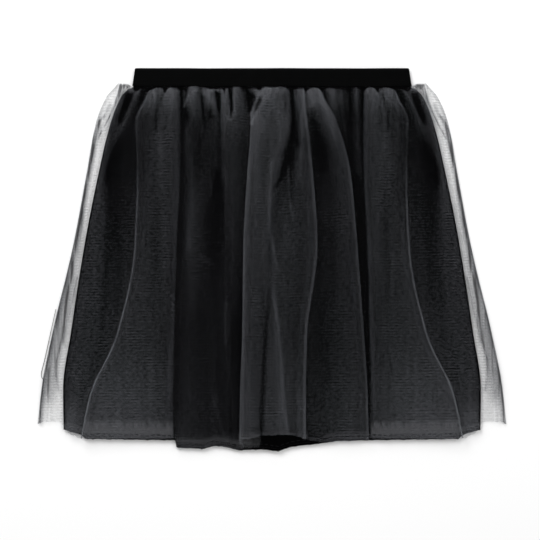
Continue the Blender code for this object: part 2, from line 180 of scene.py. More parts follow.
# Where a hem lies: distance from the centre line, and length of the layer there from seam to hem
LINING_HEM = (
    (-228, 377), (-211, 382), (-204.5, 387), (-106.2, 388.5), (-105.2, 396.5), (-75, 398), (-63, 394.5),
    (-53, 395.5), (-36, 399.5), (-12, 398.5), (7, 400.5), (22, 395.5), (54, 392), (70, 389.5), (104, 388.5),
    (204.5, 387), (211, 382), (228, 377),
)
UNDER_HEM = (
    (-244, 367), (-232, 367.5), (-226, 376), (-205, 384), (-107, 386), (-104, 394.5), (-36, 397), (-13, 396),
    (-10, 379), (28, 379), (37, 386), (56, 389.5), (108, 386), (205, 384), (226, 376), (232, 367.5), (244, 367),
)
# From x to x, how much more the under net covers near its hem
UNDER_HEM_COVER = ((-38, -12, 0.16), (24, 40, 0.10), (-104, -38, 0.03))
BACK_NET_HEM = (
    (-258.5, 371), (-240, 368.5), (-231, 369), (-226, 377), (-205, 384), (-140, 386), (-107, 386.5),
    (-104, 396), (-60, 394), (0, 396), (20, 393), (52, 390), (110, 387), (205, 384), (226, 377), (231, 369),
    (240, 368.5), (258.5, 371),
)

# Where the gathered net is pinched into the seam: x at the seam, x and y where the pinch runs out, its width,
# how deep it sinks at the seam, and how much painted shade darkens the net in it
Pinch = namedtuple("Pinch", "seam_x end_x end_y width depth thin")

CENTRE_PINCHES = (
    Pinch(-93.0, -97.5, 165, 3.0, 9, 0.14),
    Pinch(-82.0, -81.0, 180, 1.8, 4, 0.06),
    Pinch(-78.5, -72.5, 140, 1.8, 7, 0.10),
    Pinch(-61.5, -57.6, 161, 4.0, 10, 0.32),
    Pinch(-46.2, -43.0, 151, 2.1, 12, 0.6),
    Pinch(-51.8, -52.0, 176, 1.1, 4, 0.18),
    Pinch(-25.5, -22.0, 158, 6.5, 6, 0.14),
    Pinch(0.5, 0.0, 182, 1.8, 3, 0.04),
    Pinch(21.8, 23.2, 140, 2.0, 9, 0.30),
    Pinch(35.8, 37.5, 176, 1.7, 5, 0.22),
    Pinch(55.5, 61.0, 170, 2.4, 9, 0.16),
    Pinch(70.0, 76.0, 150, 1.6, 5, 0.06),
    Pinch(78.5, 80.5, 160, 2.0, 6, 0.05),
    Pinch(85.6, 86.0, 110, 1.5, 8, 0.20),
)
# The same on both sides; x is the distance from the centre line
SIDE_PINCHES = (
    Pinch(99.5, 99.5, 150, 2.6, 6, 0.10),
    Pinch(106.0, 105.5, 182, 1.6, 3, 0.03),
    Pinch(123.0, 123.5, 176, 1.8, 3, 0.03),
)

# The net's upper edge under the band: distance along the seam, and how far below it the puffed net begins;
# above that the net fades to dark as painted shadow under the band
TOP_EDGE = (
    (-180, -2), (-154, -2), (-151, 6), (-148.5, 6.6), (-144, 3.9), (-141, 4.4), (-136.5, 8), (-134.5, 5.5),
    (-131, 4.4), (-126.5, 2.8), (-122, 2.2), (-119.4, 4), (-117.2, 8.5), (-115, 4), (-111, 2.2),
    (-105.6, 2.8), (-101.2, 5), (-94.6, 5.5), (-92.4, 2.2), (-90.2, 0.6), (-87, 0), (-82.5, 0.6), (-78, 1.1),
    (-72.6, 2.2), (-68.2, 3.9), (-65, 3.9), (-60.5, 3.3), (-56.1, 2.8), (-53.9, 4.4), (-52.2, 8),
    (-50.6, 3.3), (-47.9, 2.2), (-45, 3.5), (-42.9, 2.2), (-39.6, 1.1), (-35.2, 1.1), (-30.8, 2.8),
    (-24.2, 2.8), (-17.6, 3), (-15.4, 5), (-13.2, 5.5), (-9.9, 2.8), (-6.6, 1.1), (-2.2, 2.2), (3.3, 1.6),
    (8.8, 1.1), (13.2, 1.6), (17.6, 4.4), (20.9, 9), (24.2, 5), (28.6, 3.3), (34.1, 3.3), (36.3, 6.6),
    (38.5, 5.5), (41.8, 3.3), (46.2, 2.2), (50.6, 3.3), (53.9, 5.5), (57.2, 5.5), (60.5, 3.3), (64.9, 2.2),
    (69.3, 3.9), (72.6, 3.3), (77, 3.9), (81.4, 5.5), (85.8, 9), (88, 2.2), (92.4, 2.2), (97.9, 4.4),
    (101.2, 5.5), (103.4, 3.3), (106.7, 1.6), (110, 2.2), (112.8, 4), (115.4, 8.5), (118, 4), (122.1, 2.2),
    (127.6, 2.8), (132, 3.9), (135.3, 5.5), (137.5, 8.5), (140.8, 5), (144.1, 4.4), (147.4, 6.6), (151, 6),
    (154, -2), (180, -2),
)

# A soft crease or ridge laid over the folds: its points from top to bottom, its width, how far it rises or
# sinks, and how much more or less the net covers along it, which along the creases is painted shade and
# along the ridges is partly more net in the fold and partly painted light
Stroke = namedtuple("Stroke", "points width rise cover")

CENTRE_STROKES = {
    "gap_wedge": Stroke(((-53, 81), (-51, 40), (-49.5, 0), (-50.5, -44)), 3.4, -1.2, -0.03),
    "gap_left_shade": Stroke(((-60, 94), (-64, 78), (-70, 57), (-72, 38)), 4.0, -1.0, -0.02),
    "gap_rim": Stroke(((-66.5, 84), (-66.5, 70)), 1.4, 0.4, 0.04),
    "left_fold": Stroke(((-93, 140), (-86, 60), (-91, 10)), 4.0, 0.4, 0.03),
    "left_rim": Stroke(((-96.3, 168), (-92.4, 176), (-88, 182), (-81, 186)), 1.7, 0.8, 0.14),
    "left_side_net": Stroke(((-96.5, 187), (-95, 172)), 2.2, 0, 0.07),
    "gap_left_top": Stroke(((-66, 187), (-60, 186.5), (-56.5, 185)), 2.2, 0, 0.3),
    "main_side_net": Stroke(((-27, 186), (-18, 184), (-14, 179)), 3.2, 0, 0.13),
    "main_side_dark": Stroke(((-24.5, 177), (-23.2, 164)), 2.2, -1.0, -0.1),
    "left_inner_rim": Stroke(((-77, 184), (-70.4, 179), (-65, 172)), 2.0, 0.6, 0.10),
    "left_dimple": Stroke(((-94.6, 164), (-93.5, 155)), 3.2, -1.2, -0.06),
    "inner_dimple": Stroke(((-69.3, 167), (-67, 156)), 3.4, -1.2, -0.06),
    "strip_left_rim": Stroke(((-55.6, 178), (-56.0, 143)), 0.9, 0.3, 0.07),
    "strip_rim": Stroke((
        (-51, 158), (-48.4, 153.2), (-45, 152.2), (-42.4, 156), (-40.6, 164), (-40.8, 178),
    ), 1.2, 0.8, 0.15),
    "strip_light": Stroke(((-50.6, 98), (-50.6, 0), (-50.6, -92)), 1.5, 0.5, 0.04),
    "left_diagonal": Stroke(((-80, 3), (-65, -6)), 2.0, 0.5, 0.03),
    "hem_diagonal": Stroke(((-63.8, -151), (-56, -183), (-48, -204)), 2.0, 1.0, 0.03),
    "main_rim_a": Stroke(((-7.7, 187), (-14.3, 178), (-19.8, 167), (-23.1, 158)), 1.3, 1.2, 0.17),
    "rim_gap": Stroke(((-12.8, 175), (-17.4, 163.5)), 1.7, -1.5, -0.18),
    "main_rim_b": Stroke((
        (-2.2, 186), (-6.6, 179), (-12.1, 167), (-17.6, 157), (-22.5, 149),
    ), 1.8, 1.6, 0.19),
    "main_top_streak": Stroke(((-1.1, 174), (-1.1, 145)), 1.7, -0.5, -0.05),
    "main_top_shade": Stroke(((14.3, 178), (13.2, 159)), 3.2, -0.6, -0.06),
    "main_light": Stroke(((-0.5, 106), (-3.3, 57), (-3.5, 34), (3.3, 1), (7.5, -13)), 1.6, 0.6, 0.08),
    "main_dark_low": Stroke(((-2.5, -33), (-5.8, -73), (-8.8, -114), (-12, -193)), 2.6, -1.2, -0.06),
    "main_light_low": Stroke((
        (-0.5, -33), (6.2, -71), (9.5, -119), (12.8, -166), (17, -186),
    ), 1.6, 0.6, 0.08),
    "wedge_left": Stroke(((23, 148), (14, 104), (9, 88), (1, 77)), 2.2, -2.0, -0.07),
    "wedge_right": Stroke(((23, 148), (26.5, 137), (28.6, 124)), 2.2, -1.5, -0.06),
    "wedge_inner": Stroke(((19, 118), (19.5, 96), (20, 68)), 5.5, -0.6, -0.03),
    "wedge_light": Stroke(((17.6, 101), (18.7, 68), (22, 50)), 1.3, 0.6, 0.06),
    "rib_ridge": Stroke(((31.5, 121), (30.1, 88)), 2.0, 0.8, 0.05),
    "rib_top_line": Stroke(((31.9, 179), (35, 162), (37, 145)), 1.4, 0.6, 0.08),
    "fan_crossing": Stroke(((38, 166.5), (43, 169), (48.4, 173.5), (55, 170), (60, 162)), 1.4, 0.8, 0.12),
    "fan_top_light": Stroke(((42, 183), (46.5, 177)), 6.0, 0.6, 0.14),
    "fan_dark": Stroke(((43, 161), (49, 140), (52, 118), (55, 100)), 4.5, -0.8, -0.05),
    "fan_line": Stroke(((59.4, -147), (62.2, -180)), 1.8, 0.4, 0.04),
    "sunk_streak": Stroke(((93, 140), (94.5, 99)), 3.2, 0.3, 0.02),
}

# The same on both sides; x is the distance from the centre line
SIDE_STROKES = {
    "shoulder_hollow": Stroke(((155, 179), (159, 167), (166, 153)), 3.8, -1.5, -0.1),
    "panel_shade": Stroke(((117.7, 181), (122.6, 174), (126.2, 162), (127, 142)), 1.8, -0.6, -0.05),
    "panel_light": Stroke(((116, 181), (119, 173), (122.6, 160), (123.5, 116)), 2.0, 0.6, 0.035),
    "corner_bunch": Stroke(((160, 190), (156, 188)), 4.0, 0, 0.35),
    "roll_hollow": Stroke(((170, 122), (180, 100), (181.5, 84)), 4.0, -0.8, -0.04),
    "lap_second": Stroke((
        (155, -28), (158.4, -44), (169, -77), (179.3, -110), (189.2, -132), (197, -149), (202.4, -165),
    ), 1.0, 0.2, 0.05),
    "lap_outer": Stroke(((192.5, -130), (200.2, -144), (205.7, -156), (209, -167)), 1.6, 0.2, 0.05),
    "sheer_main": Stroke((
        (184, 158), (188, 153), (191.4, 143), (193.6, 132), (195.8, 121), (199.7, 104), (202.4, 88),
        (207.4, 66), (210.7, 44), (214.5, 22), (216.7, 5), (219, -11), (222.2, -28), (225.5, -44),
        (227.7, -66), (231, -88), (236, -110), (236.5, -127), (234.3, -143),
    ), 1.3, 0.2, 0.4),
    "sheer_outer": Stroke((
        (189, 154), (193.6, 143), (196.9, 132), (198, 121), (201.3, 104), (204.6, 88), (209, 66),
        (213.4, 44), (216.7, 22), (220.6, 5), (223.9, -11), (227.2, -28), (231.6, -44), (237, -66),
        (241.6, -88), (246, -110), (250.5, -132), (252.8, -149), (254, -165), (254.8, -180),
    ), 0.9, 0.1, 0.35),
    "sheer_inner": Stroke(((213.8, -20), (217.5, -36), (221, -55), (225.5, -72), (229, -90)), 1.6, 0.2, 0.3),
    "sheer_low": Stroke(((245.3, -120), (245.3, -149), (246.4, -165), (247, -178)), 1.6, 0.2, 0.2),
    "sheer_top_a": Stroke(((178, 170), (181.5, 162), (185, 156)), 2.0, 0.2, 0.22),
    "sheer_top_b": Stroke(((173.8, 168), (178, 157), (184.8, 145), (190.3, 134)), 0.9, 0.1, 0.34),
    "sheer_top_c": Stroke(((175.2, 163), (181, 151), (188, 139)), 0.7, 0.1, 0.22),
    "slot_light": Stroke(((108.5, -40), (111.5, -90), (112.5, -150)), 1.8, 0.4, 0.03),
}

# A thread that has come loose along the left edge of the net, in millimetres
LOOSE_THREAD = (
    (-237.6, -55, 2.0), (-242.6, -77, 1.6), (-246.4, -94, 1.2), (-250, -110, 1.0), (-253.3, -123.5, 1.0),
    (-253.2, -129, 1.0), (-250.8, -132.5, 1.4),
)

# The seam's small gathers and their painted shade, the crowded net where the puffs begin, and the cloth beside
# the band
GATHER_COUNT = 70
GATHER_REACH = 168
GATHER_FADE = 12.0
GATHER_RISE = 0.8
GATHER_SHADE = 0.04
# EDGE_LIGHT and EDGE_FADE: the net lighter where the puffs begin, partly crowded net and partly painted light
# on the puffs' tops
EDGE_LIGHT = 0.6
EDGE_FADE = 5.0
SHOULDER_RISE = 3.6
SHOULDER_FADE = 0.015
SEAM_TUCK = 0.3

# The least and most that the net covers, and how much more along its cut hem
LEAST_COVER, MOST_COVER, HEM_COVER = 0.003, 0.9, 0.08
# Unevenness: its length across the cloth, its length down it, and its strength
OVER_RELIEF, OVER_TONE, PUFF_MOTTLE, SHEER_TONE = (17, 150, 0.35), (9, 210, 0.14), (4.5, 11, 0.3), (5, 60, 0.3)
UNDER_TONE, UNDER_RELIEF = (14, 230, 0.5), (20, 180, 0.12)
# The painted shade line where the net rolls over the lining's side: its distance inside the edge, width and
# strength
ROLL_SHADE_LINE = (1.5, 1.2, 0.9)
LOWEST_NET = 1.4

# The lining's turned hem, painted as a lighter band of sheen: how high it shows in the side panels, at the
# corners and between the slots, and how far from the centre line the panels and the corners begin
TURNED_HEM, CORNER_HEM, LOW_HEM = 18, 8, 9.5
SIDE_PANEL, CORNER_PANEL = 108, 205

# Rows down each layer, points across it, and how much closer the rows lie below the seam
OVER_ROWS, OVER_SPANS, OVER_BACK_POINTS = 126, 11, 90
INNER_ROWS, UNDER_POINTS, LINING_POINTS = 100, (260, 90), (300, 80)
ROW_CROWDING = 1.45

# Stitches along the lining's hem: height above the edge in millimetres, then bar sizes in metres
STITCH_RISE = 5.4
NEEDLE_STITCH = {"Spacing": 0.0062, "Bar Length": 0.0038, "Bar Radius": 0.0007, "Uneven": 0.08}
EDGE_STITCH = {
    "Spacing": 0.0026, "Bar Length": 0.0046, "Bar Radius": 0.0005, "Slant": 1.25, "Uneven": 0.3, "Seed": 8,
}
LOOSE_BARS = {"Spacing": 0.001, "Bar Length": 0.0014, "Bar Radius": 0.00026, "Uneven": 0.0}

# Colours of the cloth
OVER_GREY = (0.146, 0.151, 0.166)
UNDER_GREY = (0.08, 0.082, 0.087)
# painted shade: crowded net given a darker colour
BUNCHED_SHADE_GREY = (0.02, 0.02, 0.022)
NET_SHEEN = (0.80, 0.86, 0.94)
SATIN_DARK, SATIN_LIGHT = (0.0004, 0.0004, 0.0005), (0.0013, 0.0013, 0.0015)
# painted sheen: the satin's turned hem made lighter than the rest
HEM_SHEEN_SATIN = (0.048, 0.048, 0.051)
ELASTIC_DARK, ELASTIC_LIGHT = (0.0005, 0.0006, 0.0006), (0.0030, 0.0031, 0.0032)
THREAD_DARK, THREAD_LIGHT = (0.001, 0.001, 0.001), (0.006, 0.006, 0.007)

# The camera, in metres: where it looks straight down, from how high, and the width it sees
CAMERA_X, CAMERA_Y, CAMERA_HEIGHT = -0.0022, -0.0113, 2.2
VIEW_WIDTH = 0.594
SENSOR_WIDTH = 36.0


# Curves and shares

def through(stations, values, slopes, at):
    """A curve through values at stations, with its slope at each; values may hold several columns."""
    span = np.clip(np.searchsorted(stations, at, side="right") - 1, 0, len(stations) - 2)
    width = stations[span + 1] - stations[span]
    t = (np.asarray(at, float) - stations[span]) / width
    if values.ndim > 1:
        width, t = width[:, None], t[:, None]
    return (
        values[span] * (1 + 2 * t) * (1 - t) ** 2
        + values[span + 1] * t * t * (3 - 2 * t)
        + slopes[span] * width * t * (1 - t) ** 2
        + slopes[span + 1] * width * t * t * (t - 1)
    )


def smooth_through(stations, values, at):
    """A smooth curve through values at stations, read at the points at."""
    stations, values = np.asarray(stations, float), np.asarray(values, float)
    return through(stations, values, np.gradient(values, stations, axis=0), at)


def steady_through(stations, values, at):
    """A curve through columns of values at stations that never swings past them."""
    stations, values = np.asarray(stations, float), np.asarray(values, float)
    rise = np.diff(values, axis=0) / np.diff(stations)[:, None]
    before, after = rise[:-1], rise[1:]
    same = before * after > 0
    mean = np.where(same, 2 * before * after / np.where(same, before + after, 1), 0)
    return through(stations, values, np.concatenate([rise[:1], mean, rise[-1:]]), at)


def half_width(half, rows):
    """A layer's half width for each row, as a column."""
    return steady_through(LEVELS, np.array([half], float).T, rows)


def smooth_step(x):
    x = np.clip(x, 0, 1)
    return x * x * (3 - 2 * x)


def bell(x, width):
    """1 at nought, falling smoothly to 0 on both sides."""
    return np.exp(-((x / width) ** 2))


def puff(rows):
    """How far the net has puffed up below the seam, from 0 to 1, as a column."""
    left = 1 - np.clip(rows / PUFF_SHARE, 0, 1)
    return np.sqrt(1 - left**2)[:, None]


def fall(rows, x, length):
    """The y of each point: rows at even heights, the hem's own line near the end, a rise beside the band."""
    shares = rows[:, None]
    beside = smooth_step((np.abs(x) - HALF_WAIST_SEAM - 0.5) / 4)
    shoulder = SHOULDER_RISE * np.exp(-shares / SHOULDER_FADE) * beside
    return SEAM_Y + SEAM_TUCK - shares * MEAN_DROP - shares**HEM_POWER * (length - MEAN_DROP) + shoulder


def fall_to_hem(rows, x, hem):
    """The y of each point of a layer that ends at a hem."""
    places, lengths = np.array(hem, float).T
    return fall(rows, x, np.interp(x[-1], places, lengths))


def near_hem(rows):
    """1 at the hem, falling to 0 a few millimetres above it, as a column."""
    return smooth_step((rows - 0.985) / 0.015)[:, None]


def rows_down(count):
    """Shares of the length, closer together where the net puffs up below the seam."""
    return np.linspace(0, 1, count) ** ROW_CROWDING


# The over net

def over_lines(rows):
    """x, y, z and cover of each line of the over net's front, for each row."""
    left = [line._replace(path=tuple(-x for x in line.path)) for line in SIDE_LINES.values()]
    lines = [*left, *CENTRE_LINES.values(), *reversed(SIDE_LINES.values())]
    path, height, drop, cover = (np.array(values, float).T for values in zip(*lines))
    x = steady_through(LEVELS, path, rows)
    full = smooth_through(HEIGHT_LEVELS, height, np.maximum(rows, HEIGHT_LEVELS[0]))
    seam = np.minimum(full, SEAM_Z)
    z = seam + (full - seam) * puff(rows)
    cover = steady_through(COVER_LEVELS, cover, np.clip(rows, COVER_LEVELS[0], COVER_LEVELS[-1]))
    return np.stack([x, fall(rows, x, drop), z], axis=2), cover


def across(grid, spans):
    """Each row of lines drawn as a smooth curve; also the place of each column as a number of lines."""
    lines = np.arange(grid.shape[1])
    wanted = np.linspace(0, lines[-1], lines[-1] * spans + 1)
    out = []
    for row in grid:
        stations = np.concatenate([[0], np.cumsum(np.linalg.norm(np.diff(row, axis=0), axis=1))])
        out.append(smooth_through(stations, row, np.interp(wanted, lines, stations)))
    return np.stack(out), wanted


def path_nearness(x, y, points, width):
    """1 on a path through points, falling to 0 beside it and past its ends."""
    best = np.full(x.shape, np.inf)
    for (ax, ay), (bx, by) in zip(points, points[1:]):
        run = np.array([bx - ax, by - ay], float)
        t = np.clip(((x - ax) * run[0] + (y - ay) * run[1]) / (run @ run), 0, 1)
        best = np.minimum(best, (x - ax - t * run[0]) ** 2 + (y - ay - t * run[1]) ** 2)
    return np.exp(-best / width**2)


def pinch_nearness(x, y, pinch):
    """1 in a pinch at the seam, narrowing and fading to 0 where it runs out."""
    down = np.clip((SEAM_Y - y) / (SEAM_Y - pinch.end_y), 0, 1)
    middle = pinch.seam_x + (pinch.end_x - pinch.seam_x) * down
    return bell(x - middle, pinch.width * (1 - 0.6 * down)) * (1 - down) ** 0.4


def unevenness(x, y, across_mm, down_mm, strength):
    """Soft uneven relief, long down the cloth and short across it."""
    total = np.zeros_like(x)
    for k in range(5):
        fx = 2 * np.pi / (across_mm * (0.6 + 0.35 * k))
        fy = 2 * np.pi / (down_mm * (0.7 + 0.3 * k))
        a, b = RANDOM.uniform(0, 2 * np.pi, 2)
        bend = 0.6 * np.sin(fy * y + b)
        total += np.sin(fx * x + a + bend) * np.cos(fy * y * RANDOM.uniform(0.4, 1) + b)
    return total * strength / 2.2


def ragged(x):
    """Small uneven waves of a cut or overlocked hem."""
    phases = RANDOM.uniform(0, 2 * np.pi, 4)
    return sum(0.22 * np.sin(x * pitch + phase) for pitch, phase in zip((0.31, 0.74, 1.27, 2.1), phases))


def hem_bands(x, rise):
    """Where the lining's turned hem shows its painted sheen, from 0 to 1, by the distance above its edge."""
    corner = smooth_step((np.abs(x) - CORNER_PANEL) / 2)
    edge = smooth_step((rise - 1.0) / 0.8)
    turned = smooth_step((TURNED_HEM + (CORNER_HEM - TURNED_HEM) * corner - rise) / 1.6)
    low = smooth_step((LOW_HEM - rise) / 2.0)
    outer = smooth_step((np.abs(x) - SIDE_PANEL) / 2)
    left = smooth_step((x + 106) / 1.5) * smooth_step((-20 - x) / 4)
    right = smooth_step((x - 52) / 10) * smooth_step((107 - x) / 2)
    return edge * (outer * turned + 0.6 * left * low + 0.45 * right * low)


def over_front(rows):
    """The over net's front: points, and cover with its painted shade and light."""
    lines, cover = over_lines(rows)
    grid, places = across(lines, OVER_SPANS)
    tone = np.stack([np.interp(places, np.arange(cover.shape[1]), row) for row in cover])
    x, y = grid[:, :, 0].copy(), grid[:, :, 1].copy()
    height = grid[:, :, 2]
    below = SEAM_Y - y
    puffed = puff(rows)

    # small gathers that fan out of the seam, each darkened along its crease as painted shade
    spots = np.linspace(-GATHER_REACH, GATHER_REACH, GATHER_COUNT) + RANDOM.uniform(-2.2, 2.2, GATHER_COUNT)
    for spot in spots:
        lean = RANDOM.uniform(-0.12, 0.12) + spot / 900
        reach = GATHER_FADE * RANDOM.uniform(0.5, 1.8)
        wave = np.exp(-(((x - spot - lean * below) / RANDOM.uniform(1.0, 2.0)) ** 2) - below / reach)
        height -= GATHER_RISE * RANDOM.uniform(0.5, 1.5) * wave * puffed
        tone -= GATHER_SHADE * wave

    # pinches between the puffs with their painted shade, then soft creases and ridges with painted shade and
    # light
    for pinches, place in ((CENTRE_PINCHES, x), (SIDE_PINCHES, np.abs(x))):
        for pinch in pinches:
            near = pinch_nearness(place, y, pinch)
            height -= pinch.depth * near * puffed
            tone -= pinch.thin * near
    for strokes, place in ((CENTRE_STROKES, x), (SIDE_STROKES, np.abs(x))):
        for stroke in strokes.values():
            near = path_nearness(place, y, stroke.points, stroke.width)
            height += stroke.rise * near * puffed
            # painted shade where a stroke's cover falls in a crease, more net and painted light where it rises
            # on a ridge
            tone += stroke.cover * near

    # tucked down along the seam and darkened there as painted shadow under the band, and crowded where the
    # puffs begin, lighter there partly as more net and partly as painted light on the puffs' tops
    starts, depths = np.array(TOP_EDGE, float).T
    clear = below - np.interp(x, starts, depths)
    lift = smooth_step((clear + 1.4) / 2.4)
    height[:] = SEAM_Z + (height - SEAM_Z) * np.where(height > SEAM_Z, 0.25 + 0.75 * lift, 1)
    tone *= lift * (1 + EDGE_LIGHT * np.exp(-np.maximum(clear, 0) / EDGE_FADE))

    # uneven all over, mottled in the puffs, painted shade where it rolls over the lining, and denser along the
    # hem
    height += unevenness(x, y, *OVER_RELIEF) * smooth_step(rows / 0.08)[:, None]
    tone = np.maximum(tone, LEAST_COVER) * (1 + unevenness(x, y, *OVER_TONE))
    tone *= 1 + np.exp(-rows / 0.09)[:, None] * unevenness(x, y, *PUFF_MOTTLE)
    from_edge = half_width(LINING_HALF, rows) - np.abs(x)
    inside, width, strength = ROLL_SHADE_LINE
    tone *= 1 - strength * bell(from_edge - inside, width) * smooth_step((rows - 0.09) / 0.04)[:, None]
    tone *= 1 + smooth_step(-from_edge / 3) * unevenness(x, y, *SHEER_TONE)
    # the net a little thinner over the lining's painted hem sheen
    tone -= 0.02 * hem_bands(x, y - y[-1])
    tone += HEM_COVER * smooth_step((rows - 0.994) / 0.006)[:, None]
    grid[:, :, 1] += ragged(x) * near_hem(rows)
    grid[:, :, 2] = np.maximum(height, LOWEST_NET)
    return grid, tone


# The layers under it, and the backs

def floor_under(grid, x, reach):
    """The lowest point of a relief within reach of each x."""
    near = np.abs(grid[:, None, :, 0] - x[:, :, None]) < reach
    return np.where(near, grid[:, None, :, 2], np.inf).min(axis=2)


def inner_front(rows, half, hem, base, follows, points, edge_z, relief_lines):
    """An under layer's front: it follows the over net's relief and sinks at its own side edge."""
    x = half_width(half, rows) * np.linspace(-1, 1, points)
    lining = half_width(LINING_HALF, rows)
    relief = np.maximum(floor_under(relief_lines, x, 5.0) - 7.4, 0)
    inside = np.clip((lining - np.abs(x)) / 6, 0, 1)
    z = base + follows * relief * inside * puff(rows)
    beyond = np.clip((np.abs(x) - lining - 1) / 5, 0, 1)
    z = z + (edge_z - z) * beyond
    z += 0.9 * (SEAM_Z - 0.6 - base) * np.exp(-rows * MEAN_DROP / 4)[:, None] * (1 - beyond)
    y = fall_to_hem(rows, x, hem) + ragged(x) * near_hem(rows)
    return np.stack([x, y, z], axis=2)


def flat_back(rows, half, hem, base, points, pleat):
    """A layer's back: flat on the layer below it, with small pressed pleats; also the pleats' wave."""
    spread = half_width(half, rows)
    x = spread * np.linspace(1, -1, points) * 0.998
    wave = np.sin(x / spread * 46 + 1.3 * np.sin(x / spread * 9)) * 0.5 + 0.5
    z = base + pleat * wave * smooth_step((1 - np.abs(x) / spread) * 30)
    return np.stack([x, fall_to_hem(rows, x, hem), z], axis=2), wave


# Meshes

def add_object(name, data):
    made = bpy.data.objects.new(name, data)
    bpy.context.scene.collection.objects.link(made)
    return made


def tube_object(name, grid, material):
    """A smooth open-ended tube through a grid in millimetres, whose last column joins its first."""
    rows, columns = grid.shape[:2]
    index = np.arange(rows * columns).reshape(rows, columns)
    right = np.roll(index, -1, axis=1)
    quads = np.stack([index[:-1], index[1:], right[1:], right[:-1]], axis=2).reshape(-1, 4)
    mesh = bpy.data.meshes.new(name)
    mesh.from_pydata((grid.reshape(-1, 3) * MM).tolist(), [], quads.tolist())
    mesh.shade_smooth()
    mesh.materials.append(material)
    return add_object(name, mesh)


def set_attribute(piece, name, values):
    attribute = piece.data.attributes.new(name, "FLOAT", "POINT")
    attribute.data.foreach_set("value", values.astype(np.float32).ravel())


def levelness(grid):
    """How level the cloth lies at each point, from 0 on a wall to 1 when flat."""
    normal = np.cross(np.gradient(grid, axis=0), np.gradient(grid, axis=1))
    return np.abs(normal[:, :, 2]) / np.maximum(np.linalg.norm(normal, axis=2), 1e-9)


def cloth_tube(name, material, front, back, covers=None):
    """One tube of cloth from its front and back, with a map of the cloth in metres and its cover."""
    grid = np.concatenate([front, back], axis=1)
    rows, columns = grid.shape[:2]
    piece = tube_object(name, grid, material)

    step = np.linalg.norm(np.roll(grid, -1, axis=1) - grid, axis=2)
    u = np.concatenate([np.zeros((rows, 1)), np.cumsum(step, axis=1)], axis=1)
    u = (u - u[:, front.shape[1] // 2, None]) * MM
    v = (SEAM_Y - grid[:, :, 1] + 0.15 * grid[:, :, 2]) * MM
    v = np.concatenate([v, v[:, :1]], axis=1)
    row, cell = np.meshgrid(np.arange(rows - 1), np.arange(columns), indexing="ij")
    corners = [(row, cell), (row + 1, cell), (row + 1, cell + 1), (row, cell + 1)]
    uv = np.stack([np.stack([u[r, c], -v[r, c]], axis=2) for r, c in corners], axis=2)
    layer = piece.data.uv_layers.new(name="cloth")
    layer.uv.foreach_set("vector", uv.astype(np.float32).ravel())

    if covers is not None:
        down = (SEAM_Y - grid[:, :, 1]) / MEAN_DROP
        least = 0.9 - 0.45 * smooth_step((down - 0.19) / 0.08)
        slant = np.clip(levelness(grid), least, 1)
        tone = np.clip(np.concatenate(covers, axis=1), 0.0, MOST_COVER)
        set_attribute(piece, "cover", 1 - (1 - tone) ** (1 / slant))
    return piece


def waistband_piece(material):
    """The elastic loop pressed flat, with rounded long edges and a slightly wavy top and bottom."""
    steps_round, steps_down, edge_round, edge_inset = 300, 14, 0.6, 0.8
    turns = np.linspace(0, np.pi, 7)
    low_edge = [(edge_round * (1 - np.sin(a)), edge_inset * (1 - np.cos(a))) for a in turns[::-1]]
    top_edge = [(BAND_HEIGHT - height, inset) for height, inset in reversed(low_edge)]
    wall = [(h, 0.0) for h in np.linspace(edge_round, BAND_HEIGHT - edge_round, steps_down)[1:-1]]
    rings = []
    for height, inset in low_edge + wall + top_edge:
        share = height / BAND_HEIGHT
        radius = BAND_THICK / 2 - inset
        run = HALF_WAIST_SEAM + (HALF_WAIST_TOP - HALF_WAIST_SEAM) * share - inset - radius
        arc = np.pi * radius
        at = np.linspace(0, 4 * run + 2 * arc, steps_round, endpoint=False)
        back = at >= 2 * run + arc
        along = np.where(back, at - 2 * run - arc, at)
        turn = np.pi / 2 + np.clip((along - 2 * run) / radius, 0, np.pi)
        side = np.where(back, -1, 1)
        x = side * (run - np.minimum(along, 2 * run) + radius * np.cos(turn))
        z = side * radius * np.sin(turn)
        wave = 0.25 * np.sin(x / 23 + 1) + 0.15 * np.sin(x / 9)
        y = SEAM_Y + height + wave * (1 - share * 0.6)
        rings.append(np.stack([x, y, z + BAND_THICK / 2], axis=1))
    return tube_object("waist_elastic", np.stack(rings), material)


# Node groups and materials

def feed(tree, node, inputs):
    """Each input of a node set to a value, or linked to a socket."""
    for name, value in inputs.items():
        if isinstance(value, bpy.types.NodeSocket):
            tree.links.new(value, node.inputs[name])
        else:
            node.inputs[name].default_value = value
    return node


def add_node(tree, kind, inputs, **settings):
    """A node with its settings and inputs."""
    node = tree.nodes.new(kind)
    for name, value in settings.items():
        setattr(node, name, value)
    return feed(tree, node, inputs)


def maths(tree, operation, *values, clamp=False):
    """A Math node; each value is a number or a socket."""
    node = add_node(tree, "ShaderNodeMath", dict(enumerate(values)), operation=operation, use_clamp=clamp)
    return node.outputs[0]


def new_group(name, inputs, outputs, kind="ShaderNodeTree"):
    """A node group; each input is given by the number it starts from, or by its kind of socket."""
    group = bpy.data.node_groups.new(name, kind)
    for label, value in inputs.items():
        socket_kind = value if isinstance(value, str) else {int: "Int", float: "Float"}[type(value)]
        socket = group.interface.new_socket(label, in_out="INPUT", socket_type="NodeSocket" + socket_kind)
        if not isinstance(value, str):
            socket.default_value = value
    for label, socket_kind in outputs.items():
        group.interface.new_socket(label, in_out="OUTPUT", socket_type="NodeSocket" + socket_kind)
    return group, group.nodes.new("NodeGroupInput").outputs, group.nodes.new("NodeGroupOutput")


